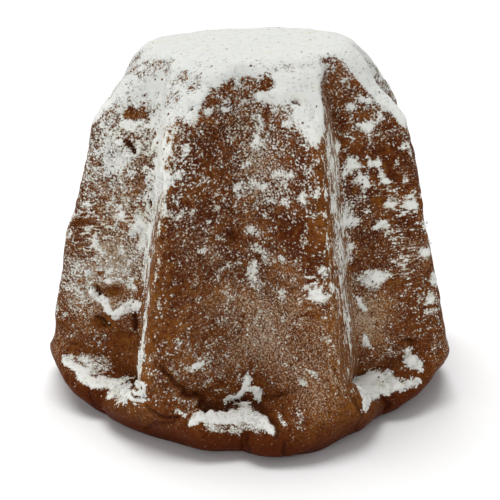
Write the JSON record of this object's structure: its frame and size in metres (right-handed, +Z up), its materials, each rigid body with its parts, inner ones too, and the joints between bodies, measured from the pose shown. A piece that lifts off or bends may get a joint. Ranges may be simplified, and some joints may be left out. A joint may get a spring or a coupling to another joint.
{
  "type": "pandoro loaf",
  "caption": "Tall star-shaped sweet loaf, tapered from a broad risen base to a flat top with chamfered points, dusted with icing sugar.",
  "frame": {"origin": "centre of the flat underside, on the surface the loaf stands on", "axes": "+Z up along the loaf's axis; a valley of the star faces -Y, towards the viewer; +X to the viewer's right"},
  "size_m": [0.194, 0.194, 0.165],
  "materials": {
    "crust": "satin",
    "icing_sugar": "matte"
  },
  "bodies": {
    "root": {"pandoro_loaf": "crust"}
  },
  "joints": []
}
